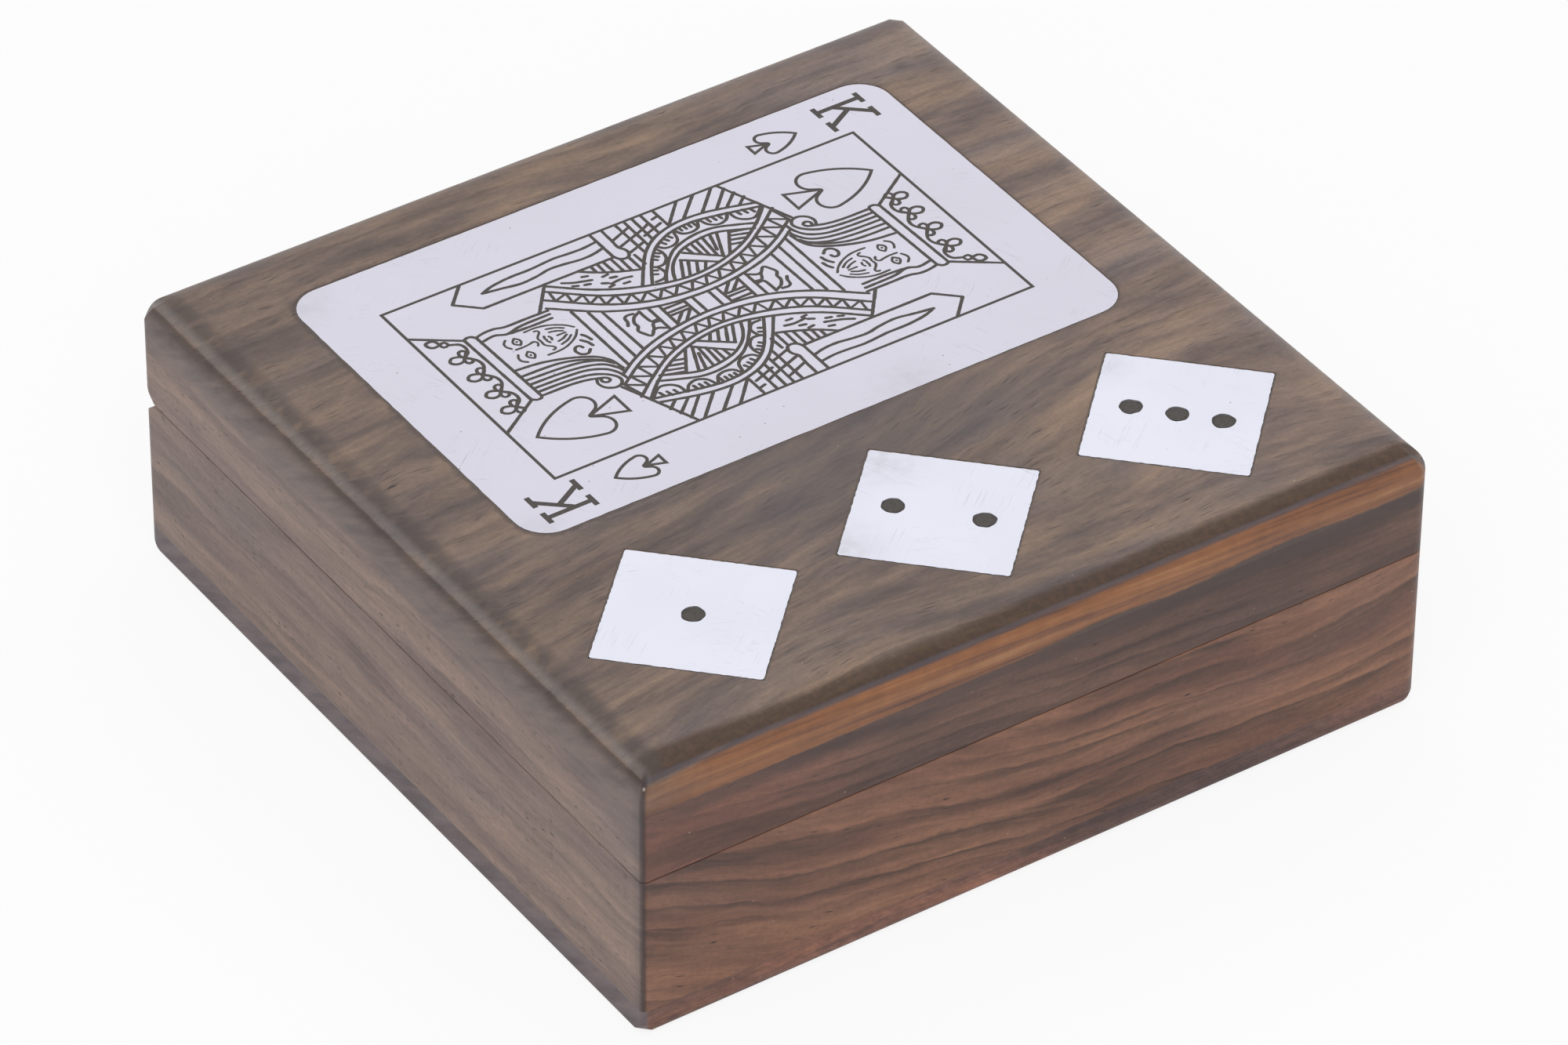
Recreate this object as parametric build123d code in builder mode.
"""Wooden box for dice and playing cards, with a lid hinged at the back.

The base is four mitred walls on a bottom board, split by a divider into a card well at the back
and a dice trough at the front. The lid is four mitred rails under a top board, which carries a
metal card plate and three metal die plates let in flush. Two brass butt hinges join them.

Frame: millimetres, origin at the middle of the underside, +X along the front from left to right,
+Y from the front to the hinged back, +Z up.
"""
import os
from math import hypot, sqrt

from build123d import *

os.makedirs("parts", exist_ok=True)

# Closed box, outside
box_width = 116.0
box_depth = 115.0
bottom_thickness = 4.0
base_wall_height = 20.0
seam_gap = 0.1
lid_wall_height = 9.9
top_thickness = 6.0
wall_thickness = 8.0

# Shaping of the outside
corner_round = 2.0
front_left_corner_round = 0.8
corner_top_round = 5.4
corner_foot_round = 2.8
corner_form_gap = 0.2
top_edge_run = 4.3
top_edge_drop = 4.0
side_foot_round = 0.8
front_foot_round = 1.4
back_foot_round = 3.5
seam_arris = 0.15

# Bevels along the rear seam, on the lid and on the base, which let the lid swing and then stop it
bevel_depth = 3.1
lid_bevel_height = 2.7
base_bevel_height = 2.6

# Inside
card_well_depth = 66.5
divider_thickness = 5.0
divider_drop = 1.5
divider_top_round = 1.0
dado_depth = 2.0
joint_clearance = 0.05
lining_thickness = 1.0
lining_clearance = 0.3

# Metal inlays
plate_thickness = 0.8
filler_width = 0.2
filler_drop = 0.05
card_length = 88.9
card_width = 58.3
card_corner = 4.5
card_x = 0.5
card_y = 16.5
die_size = 21.3
die_corner = 0.2
die_turn = 45.0
die_pitch = 35.7
die_row_y = -34.8
pip_diameter = 3.1
pip_row_turn = -48.0
two_pip_pitch = 11.4
three_pip_pitch = 5.9
pip_fill_drop = 0.12

# Engraving on the card plate, drawn for one half and turned about the plate's centre for the other
engraving_depth = 0.3
engraving_fill_drop = 0.03
engraving_line = 0.45
frame_length = 71.3
frame_width = 39.9
spade_tip_x = 6.35
spade_flank_x = 2.4
spade_flank_y = 3.0
spade_shoulder_x = -1.4
spade_half_width = 4.3
spade_lobe_x = -3.9
spade_lobe_y = 2.3
spade_neck_x = -3.0
spade_neck_y = 0.65
spade_cleft_x = -1.9
spade_stem_tip_x = -0.95
spade_foot_x = -6.6
spade_foot_half_width = 2.1
large_spade_x = 26.9
large_spade_y = 11.8
small_spade_scale = 0.57
small_spade_x = 26.1
small_spade_y = 23.9
letter_height = 7.3
letter_width = 5.9
letter_line = 0.75
letter_serif_width = 2.3
letter_arm_x = -0.9
letter_leg_joint = 0.38
letter_x = 37.4
letter_y = 24.2

# Brass butt hinges
hinge_length = 18.0
hinge_end_setback = 24.0
hinge_inset = 2.1
barrel_radius = 1.05
barrel_clearance = 0.3
knuckle_count = 5
knuckle_gap = 0.12
leaf_thickness = 0.6
leaf_width = 5.1
leaf_fit = 0.05
pin_radius = 0.45
pin_clearance = 0.05
pin_head_radius = 0.8
pin_head_thickness = 0.3
screw_head_radius = 1.2
screw_shank_radius = 0.65
screw_length = 6.0
screw_tip = 1.3
screw_clearance = 0.03
screw_slot_width = 0.35
screw_slot_depth = 0.25
screw_spacing = 10.4
screw_setback = 3.6

# Levels and half sizes
half_width = box_width / 2
half_depth = box_depth / 2
rim_z = bottom_thickness + base_wall_height
lid_z = rim_z + seam_gap
board_z = lid_z + lid_wall_height
box_height = board_z + top_thickness
inner_half_width = half_width - wall_thickness
inner_half_depth = half_depth - wall_thickness
hinge_y = half_depth - hinge_inset
hinge_z = rim_z + seam_gap / 2
divider_back_y = inner_half_depth - card_well_depth
divider_front_y = divider_back_y - divider_thickness
overcut = 1.0


def save(builder, node):
    """Label a finished sub-part and write its STEP file."""
    builder.part.label = node
    export_step(builder.part, f"parts/{node}.step")


def edge_section(plane, width, low_foot_round, high_foot_round):
    """Section through the whole box: rounded over at the top, eased at both ends of the foot."""
    half = width / 2
    flat = half - top_edge_run
    edge_z = box_height - top_edge_drop
    with BuildSketch(plane) as section:
        with BuildLine():
            Line((low_foot_round - half, 0), (half - high_foot_round, 0))
            CenterArc((half - high_foot_round, high_foot_round), high_foot_round, -90, 90)
            Line((half, high_foot_round), (half, edge_z))
            EllipticalCenterArc((flat, edge_z), top_edge_run, top_edge_drop, 0, arc_size=90)
            Line((flat, box_height), (-flat, box_height))
            EllipticalCenterArc((-flat, edge_z), top_edge_run, top_edge_drop, 90, arc_size=90)
            Line((-half, edge_z), (-half, low_foot_round))
            CenterArc((low_foot_round - half, low_foot_round), low_foot_round, 180, 90)
        make_face()
    return section.sketch


def corner_section(plane, low_round, high_round, low_top_round):
    """Section through two opposite corners. It clears their upright edges and eases their points."""
    reach = hypot(half_width, half_depth) + corner_form_gap
    low = low_round * (sqrt(2) - 1) - reach
    high = reach - high_round * (sqrt(2) - 1)
    foot, top = corner_foot_round, corner_top_round
    with BuildSketch(plane) as section:
        with BuildLine():
            Line((low + foot, 0), (high - foot, 0))
            CenterArc((high - foot, foot), foot, -90, 90)
            Line((high, foot), (high, box_height - top))
            CenterArc((high - top, box_height - top), top, 0, 90)
            Line((high - top, box_height), (low + low_top_round, box_height))
            CenterArc((low + low_top_round, box_height - low_top_round), low_top_round, 90, 90)
            Line((low, box_height - low_top_round), (low, foot))
            CenterArc((low + foot, foot), foot, 180, 90)
        make_face()
    return section.sketch


def rear_bevel(edge_z, height):
    """Wedge that bevels the rear edge at one level, upwards for the lid and downwards for the base."""
    slope = height / bevel_depth
    with BuildSketch(Plane.YZ) as wedge:
        Polygon(
            (half_depth - bevel_depth - overcut, edge_z - overcut * slope),
            (half_depth + overcut, edge_z - overcut * slope),
            (half_depth + overcut, edge_z + (bevel_depth + overcut) * slope),
            align=None,
        )
    return wedge.sketch


# Outside form of the closed box, then of its two halves
with BuildPart() as outer_form:
    with BuildSketch(Plane.XY) as plan:
        Rectangle(box_width, box_depth)
        front_left = (-half_width, -half_depth)
        fillet(plan.vertices().sort_by_distance(front_left)[1:], corner_round)
        fillet(plan.vertices().sort_by_distance(front_left)[0], front_left_corner_round)
    extrude(amount=box_height)
    across = edge_section(Plane.XZ, box_width, side_foot_round, side_foot_round)
    extrude(across, amount=box_depth, both=True, mode=Mode.INTERSECT)
    along = edge_section(Plane.YZ, box_depth, front_foot_round, back_foot_round)
    extrude(along, amount=box_width, both=True, mode=Mode.INTERSECT)
    for turn, low_round, low_top_round in (
        (1, front_left_corner_round, front_left_corner_round),
        (-1, corner_round, corner_top_round),
    ):
        mitre_line = Vector(half_width, turn * half_depth)
        mitre_plane = Plane((0, 0, 0), x_dir=mitre_line, z_dir=mitre_line.cross(Vector(0, 0, 1)))
        corner_form = corner_section(mitre_plane, low_round, corner_round, low_top_round)
        extrude(corner_form, amount=box_width, both=True, mode=Mode.INTERSECT)

with BuildPart() as base_form:
    add(outer_form.part)
    split(bisect_by=Plane.XY.offset(rim_z), keep=Keep.BOTTOM)
    fillet(base_form.faces().sort_by(Axis.Z)[-1].edges(), seam_arris)
    extrude(rear_bevel(rim_z, -base_bevel_height), amount=box_width, both=True, mode=Mode.SUBTRACT)

with BuildPart() as lid_form:
    add(outer_form.part)
    split(bisect_by=Plane.XY.offset(lid_z), keep=Keep.TOP)
    fillet(lid_form.faces().sort_by(Axis.Z)[0].edges(), seam_arris)
    extrude(rear_bevel(lid_z, lid_bevel_height), amount=box_width, both=True, mode=Mode.SUBTRACT)


# Divider, and the housing that it slides into in the left and right walls
def divider_section(clearance):
    """Section of the divider across the box, grown by a clearance at its faces and top."""
    with BuildSketch(Plane.YZ) as section:
        low = bottom_thickness
        high = rim_z - divider_drop + clearance
        Polygon(
            (divider_front_y - clearance, low),
            (divider_back_y + clearance, low),
            (divider_back_y + clearance, high),
            (divider_front_y - clearance, high),
            align=None,
        )
        fillet(section.vertices().group_by(Axis.Y)[-1], divider_top_round)
    return section.sketch


with BuildPart() as tray_divider:
    divider_reach = inner_half_width + dado_depth - joint_clearance
    extrude(divider_section(0), amount=divider_reach, both=True)
save(tray_divider, "tray_divider")

with BuildPart() as divider_housing:
    extrude(divider_section(joint_clearance), amount=inner_half_width + dado_depth, both=True)


# Screw, head up, its face at the origin
def screw_profile(clearance):
    """Half section of a countersunk wood screw, grown by a clearance."""
    head_depth = screw_head_radius - screw_shank_radius
    with BuildSketch(Plane.XZ) as profile:
        Polygon(
            (0, 0),
            (screw_head_radius + clearance, 0),
            (screw_shank_radius + clearance, -head_depth),
            (screw_shank_radius + clearance, -screw_length + screw_tip),
            (0, -screw_length - clearance),
            align=None,
        )
    return profile.sketch


with BuildPart() as screw:
    revolve(screw_profile(0), axis=Axis.Z)
    with BuildSketch(Plane.XY):
        Rectangle(2 * screw_head_radius, screw_slot_width)
    extrude(amount=-screw_slot_depth, mode=Mode.SUBTRACT)

with BuildPart() as screw_hole:
    revolve(screw_profile(screw_clearance), axis=Axis.Z)

# Hinge places. Each leaf's inner face is this far from the pin's axis when the box is closed.
leaf_face = barrel_radius - leaf_thickness
hinge_xs = (hinge_end_setback - half_width, half_width - hinge_end_setback)
screw_y = hinge_y - screw_setback
screw_xs = [x + step for x in hinge_xs for step in (-screw_spacing / 2, screw_spacing / 2)]
base_screw_places = [Location((x, screw_y, hinge_z - leaf_face)) for x in screw_xs]
lid_screw_places = [Location((x, screw_y, hinge_z + leaf_face), (180, 0, 0)) for x in screw_xs]

# Mortises for both hinges: a leaf recess and a wider slot round the barrel, above and below the axis
with BuildPart() as hinge_mortises:
    with BuildSketch(Plane.YZ) as leaf_recess:
        Polygon(
            (hinge_y - leaf_width - leaf_fit, hinge_z - barrel_radius),
            (half_depth + overcut, hinge_z - barrel_radius),
            (half_depth + overcut, hinge_z + barrel_radius),
            (hinge_y - leaf_width - leaf_fit, hinge_z + barrel_radius),
            align=None,
        )
    for x in hinge_xs:
        extrude(
            leaf_recess.sketch.moved(Location((x, 0, 0))), amount=hinge_length / 2 + leaf_fit, both=True
        )
    slot_reach = barrel_radius + barrel_clearance
    with BuildSketch(Plane.YZ) as barrel_slot:
        Polygon(
            (hinge_y - slot_reach, hinge_z - slot_reach),
            (half_depth + overcut, hinge_z - slot_reach),
            (half_depth + overcut, hinge_z + slot_reach),
            (hinge_y - slot_reach, hinge_z + slot_reach),
            align=None,
        )
    slot_half_length = hinge_length / 2 + pin_head_thickness + barrel_clearance
    for x in hinge_xs:
        extrude(barrel_slot.sketch.moved(Location((x, 0, 0))), amount=slot_half_length, both=True)

# The four sides: the two plan corners at which each one ends
sides = {
    "front": ((-1, -1), (1, -1)),
    "right": ((1, -1), (1, 1)),
    "back": ((1, 1), (-1, 1)),
    "left": ((-1, 1), (-1, -1)),
}


def mitred_plan(side, level):
    """Plan of one side of the box, cut at 45 degrees at both ends."""
    corners = sides[side]
    outer = [(sx * half_width, sy * half_depth) for sx, sy in corners]
    inner = [(sx * inner_half_width, sy * inner_half_depth) for sx, sy in reversed(corners)]
    with BuildSketch(Plane.XY.offset(level)) as trapezoid:
        Polygon(*outer, *inner, align=None)
    return trapezoid.sketch


# Base walls
for side in sides:
    with BuildPart() as base_wall:
        extrude(mitred_plan(side, bottom_thickness), amount=base_wall_height)
        add(base_form.part, mode=Mode.INTERSECT)
        if side in ("left", "right"):
            add(divider_housing.part, mode=Mode.SUBTRACT)
        if side == "back":
            add(hinge_mortises.part, mode=Mode.SUBTRACT)
            for place in base_screw_places:
                add(screw_hole.part.moved(place), mode=Mode.SUBTRACT)
    save(base_wall, f"base_{side}_wall")

with BuildPart() as bottom_board:
    with BuildSketch(Plane.XY):
        Rectangle(box_width, box_depth)
    extrude(amount=bottom_thickness)
    add(base_form.part, mode=Mode.INTERSECT)
save(bottom_board, "bottom_board")

# Felt linings of the two compartments
lining_half_width = inner_half_width - lining_clearance
for node, front_y, back_y in (
    ("card_well_lining", divider_back_y, inner_half_depth),
    ("dice_trough_lining", -inner_half_depth, divider_front_y),
):
    with BuildPart() as lining:
        with BuildSketch(Plane.XY.offset(bottom_thickness)):
            with Locations((0, (front_y + back_y) / 2)):
                Rectangle(2 * lining_half_width, back_y - front_y - 2 * lining_clearance)
        extrude(amount=lining_thickness)
    save(lining, node)

# Lid rails
for side in sides:
    with BuildPart() as lid_rail:
        extrude(mitred_plan(side, lid_z), amount=lid_wall_height)
        add(lid_form.part, mode=Mode.INTERSECT)
        if side == "back":
            add(hinge_mortises.part, mode=Mode.SUBTRACT)
            for place in lid_screw_places:
                add(screw_hole.part.moved(place), mode=Mode.SUBTRACT)
    save(lid_rail, f"lid_{side}_rail")

with BuildPart() as lid_lining:
    with BuildSketch(Plane.XY.offset(board_z)):
        Rectangle(2 * lining_half_width, 2 * (inner_half_depth - lining_clearance))
    extrude(amount=-lining_thickness)
save(lid_lining, "lid_lining")

# Inlays, each sketched on the floor of its pocket in the top board
pocket_z = box_height - plate_thickness
die_places = {
    "one_pip_plate": (-die_pitch, [0]),
    "two_pip_plate": (0, [-two_pip_pitch / 2, two_pip_pitch / 2]),
    "three_pip_plate": (die_pitch, [-three_pip_pitch, 0, three_pip_pitch]),
}


def card_plan(growth):
    """Outline of the card plate, grown by a margin."""
    with BuildSketch(Plane.XY.offset(pocket_z)) as outline:
        with Locations((card_x, card_y)):
            RectangleRounded(card_length + 2 * growth, card_width + 2 * growth, card_corner + growth)
    return outline.sketch


def die_plan(x, growth):
    """Outline of one die plate, grown by a margin."""
    with BuildSketch(Plane.XY.offset(pocket_z)) as outline:
        with Locations(Location((x, die_row_y), die_turn)):
            RectangleRounded(die_size + 2 * growth, die_size + 2 * growth, die_corner + growth)
    return outline.sketch


def pip_plan(x, steps):
    """The pips of one die plate, in a row through its middle."""
    with BuildSketch(Plane.XY.offset(pocket_z)) as pips:
        with Locations(Location((x, die_row_y), pip_row_turn)):
            with Locations(*[(step, 0) for step in steps]):
                Circle(pip_diameter / 2)
    return pips.sketch


with BuildPart() as top_board:
    with BuildSketch(Plane.XY.offset(board_z)):
        Rectangle(box_width, box_depth)
    extrude(amount=top_thickness)
    add(lid_form.part, mode=Mode.INTERSECT)
    extrude(card_plan(filler_width), amount=plate_thickness, mode=Mode.SUBTRACT)
    for x, _ in die_places.values():
        extrude(die_plan(x, filler_width), amount=plate_thickness, mode=Mode.SUBTRACT)
save(top_board, "top_board")

with BuildPart() as inlay_filler:
    filler_height = plate_thickness - filler_drop
    extrude(card_plan(filler_width), amount=filler_height)
    extrude(card_plan(0), amount=filler_height, mode=Mode.SUBTRACT)
    for x, _ in die_places.values():
        extrude(die_plan(x, filler_width), amount=filler_height)
        extrude(die_plan(x, 0), amount=filler_height, mode=Mode.SUBTRACT)
save(inlay_filler, "inlay_filler")

for node, (x, steps) in die_places.items():
    with BuildPart() as die_plate:
        extrude(die_plan(x, 0), amount=plate_thickness)
        extrude(pip_plan(x, steps), amount=plate_thickness, mode=Mode.SUBTRACT)
    save(die_plate, node)

with BuildPart() as pip_fill:
    for x, steps in die_places.values():
        extrude(pip_plan(x, steps), amount=plate_thickness - pip_fill_drop)
save(pip_fill, "pip_fill")


# Engraving. Each mark points its top towards +X, as the card lies on its side.
def spade_body(scale):
    """Leaf of a spade, its tip at +X."""
    tip, flank, shoulder, lobe, neck, cleft = (
        (x * scale, y * scale)
        for x, y in (
            (spade_tip_x, 0),
            (spade_flank_x, spade_flank_y),
            (spade_shoulder_x, spade_half_width),
            (spade_lobe_x, spade_lobe_y),
            (spade_neck_x, spade_neck_y),
            (spade_cleft_x, 0),
        )
    )
    with BuildSketch() as body:
        with BuildLine():
            ThreePointArc(tip, flank, shoulder)
            ThreePointArc(shoulder, lobe, neck)
            Line(neck, cleft)
            mirror(about=Plane.XZ)
        make_face()
    return body.sketch


def spade_stem(scale, inset):
    """Flared stem of a spade, its foot at -X, drawn in by an inset."""
    length = spade_stem_tip_x - spade_foot_x
    side = hypot(length, spade_foot_half_width)
    tip_x = spade_stem_tip_x * scale - inset * side / spade_foot_half_width
    foot_x = spade_foot_x * scale + inset
    foot_half_width = (tip_x - foot_x) * spade_foot_half_width / length
    with BuildSketch() as stem:
        Polygon((tip_x, 0), (foot_x, -foot_half_width), (foot_x, foot_half_width), align=None)
    return stem.sketch


def spade_line(scale):
    """Engraved outline of a spade, from the foot of its stem to its tip."""
    with BuildSketch() as mark:
        add(spade_body(scale))
        add(spade_stem(scale, 0))
        offset(spade_body(scale), -engraving_line, kind=Kind.ARC, mode=Mode.SUBTRACT)
        add(spade_stem(scale, engraving_line), mode=Mode.SUBTRACT)
    return mark.sketch


def letter_mark():
    """The rank letter K, centred, its top towards +X and its stem at +Y."""
    stem_y = (letter_width - letter_serif_width) / 2
    serif_x = (letter_height - letter_line) / 2
    with BuildSketch() as mark:
        with Locations((0, stem_y)):
            Rectangle(letter_height, letter_line)
        with GridLocations(2 * serif_x, 2 * stem_y, 2, 2):
            Rectangle(letter_line, letter_serif_width)
        with BuildLine():
            arm = Line((letter_arm_x, stem_y), (serif_x, -stem_y))
        trace(arm, line_width=letter_line)
        with BuildLine():
            leg = Line(arm @ letter_leg_joint, (-serif_x, -stem_y))
        trace(leg, line_width=letter_line)
    return mark.sketch


large_spade = spade_line(1)
small_spade = spade_line(small_spade_scale)
letter = letter_mark()
with BuildSketch(Plane.XY.offset(box_height - engraving_depth)) as card_marks:
    with Locations((card_x, card_y)):
        Rectangle(frame_length + engraving_line, frame_width + engraving_line)
        Rectangle(frame_length - engraving_line, frame_width - engraving_line, mode=Mode.SUBTRACT)
        with Locations(Location((0, 0), 0), Location((0, 0), 180)):
            with Locations((large_spade_x, large_spade_y)):
                add(large_spade)
            with Locations((small_spade_x, small_spade_y)):
                add(small_spade)
            with Locations((letter_x, letter_y)):
                add(letter)

with BuildPart() as card_plate:
    extrude(card_plan(0), amount=plate_thickness)
    extrude(card_marks.sketch, amount=engraving_depth, mode=Mode.SUBTRACT)
save(card_plate, "card_plate")

with BuildPart() as card_engraving:
    extrude(card_marks.sketch, amount=engraving_depth - engraving_fill_drop)
save(card_engraving, "card_engraving")


# Hinges. Knuckles alternate along the barrel, the first and last belonging to the base leaf.
knuckle_pitch = hinge_length / knuckle_count


def knuckle_places(centre_x, first):
    """Start of every other knuckle along the barrel, from the knuckle numbered first."""
    return [centre_x - hinge_length / 2 + index * knuckle_pitch for index in range(first, knuckle_count, 2)]


def leaf_solid(centre_x, first, rise):
    """One leaf and its knuckles; rise is +1 for the lid's leaf and -1 for the base's."""
    near = hinge_z + rise * leaf_face
    far = hinge_z + rise * barrel_radius
    with BuildPart() as leaf:
        with BuildSketch(Plane.XY.offset(min(near, far))):
            plate_back = hinge_y - slot_reach
            plate_middle = (hinge_y - leaf_width + plate_back) / 2
            with Locations((centre_x, plate_middle)):
                Rectangle(hinge_length, plate_back - hinge_y + leaf_width)
            for start in knuckle_places(centre_x, first):
                with Locations((start + knuckle_pitch / 2, hinge_y - slot_reach / 2)):
                    Rectangle(knuckle_pitch - knuckle_gap, slot_reach)
        extrude(amount=leaf_thickness)
        for start in knuckle_places(centre_x, first):
            with BuildSketch(Plane.YZ.offset(start + knuckle_gap / 2)):
                with Locations((hinge_y, hinge_z)):
                    Circle(barrel_radius)
            extrude(amount=knuckle_pitch - knuckle_gap)
        with BuildSketch(Plane.YZ.offset(centre_x)):
            with Locations((hinge_y, hinge_z)):
                Circle(pin_radius + pin_clearance)
        extrude(amount=hinge_length, both=True, mode=Mode.SUBTRACT)
        for place in base_screw_places if rise < 0 else lid_screw_places:
            if abs(place.position.X - centre_x) < hinge_length / 2:
                add(screw_hole.part.moved(place), mode=Mode.SUBTRACT)
    return leaf


for hand, hinge_x in zip(("left", "right"), hinge_xs):
    base_leaf = leaf_solid(hinge_x, 0, -1)
    save(base_leaf, f"{hand}_hinge_base_leaf")
    lid_leaf = leaf_solid(hinge_x, 1, 1)
    save(lid_leaf, f"{hand}_hinge_lid_leaf")
    with BuildPart() as hinge_pin:
        with BuildSketch(Plane.YZ.offset(hinge_x)):
            with Locations((hinge_y, hinge_z)):
                Circle(pin_radius)
        extrude(amount=hinge_length / 2 + pin_head_thickness, both=True)
        for end in (-1, 1):
            with BuildSketch(Plane.YZ.offset(hinge_x + end * hinge_length / 2)):
                with Locations((hinge_y, hinge_z)):
                    Circle(pin_head_radius)
            extrude(amount=end * pin_head_thickness)
    save(hinge_pin, f"{hand}_hinge_pin")

with BuildPart() as base_hinge_screws:
    for place in base_screw_places:
        add(screw.part.moved(place))
save(base_hinge_screws, "base_hinge_screws")

with BuildPart() as lid_hinge_screws:
    for place in lid_screw_places:
        add(screw.part.moved(place))
save(lid_hinge_screws, "lid_hinge_screws")
